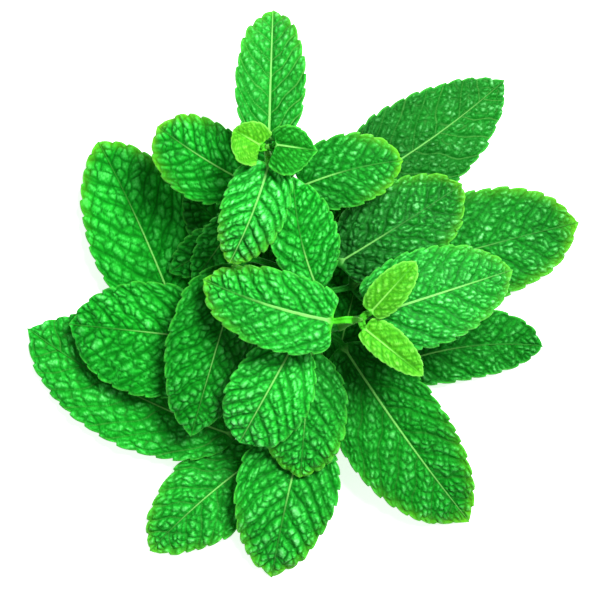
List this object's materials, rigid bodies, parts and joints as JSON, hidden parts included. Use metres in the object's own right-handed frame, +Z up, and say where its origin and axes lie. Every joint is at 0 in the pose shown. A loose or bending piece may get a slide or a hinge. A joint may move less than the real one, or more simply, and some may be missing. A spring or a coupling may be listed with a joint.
{
  "type": "mint sprig",
  "caption": "Cut sprig of fresh mint lying on its lower leaves, with toothed, veined leaves on a square branching stem.",
  "frame": {"origin": "middle of the sprig's outline, on the surface it lies on", "axes": "+Z up from the surface, +Y from the middle towards the growing tip of the main stem, +X towards the east shoot"},
  "size_m": [0.1494, 0.1515, 0.0484],
  "materials": {
    "leaf": "fresh green leaf blade with a soft satin gloss",
    "young_leaf": "young yellow-green leaf, soft and slightly glossy",
    "stem": "pale green square stem, matt with fine hairs"
  },
  "bodies": {
    "root": {"stem_main": "stem", "shoot_east": "stem", "shoot_west": "stem", "shoot_south": "stem", "leaf_west_low": "leaf", "leaf_upper_left": "leaf", "leaf_south_west": "leaf", "leaf_south": "leaf", "leaf_east_low": "leaf", "leaf_east": "leaf", "leaf_upper_right": "leaf", "leaf_south_east": "leaf", "leaf_under_north": "leaf", "leaf_under_mid": "leaf", "leaf_under_top": "leaf", "leaf_under_east": "leaf", "leaf_left_under": "leaf", "leaf_left_mid": "leaf", "leaf_west": "leaf", "leaf_left_inner": "leaf", "leaf_right_inner": "leaf", "leaf_low_inner": "leaf", "leaf_mid_left": "leaf", "leaf_mid_up": "leaf", "leaf_a_left": "leaf", "leaf_a_right": "leaf", "leaf_a_top": "leaf", "leaf_a_front": "leaf", "leaf_a_small_left": "young_leaf", "leaf_a_small_right": "young_leaf", "leaf_b_left": "leaf", "leaf_b_right": "leaf", "leaf_b_small_up": "young_leaf", "leaf_b_small_down": "young_leaf"}
  },
  "joints": []
}
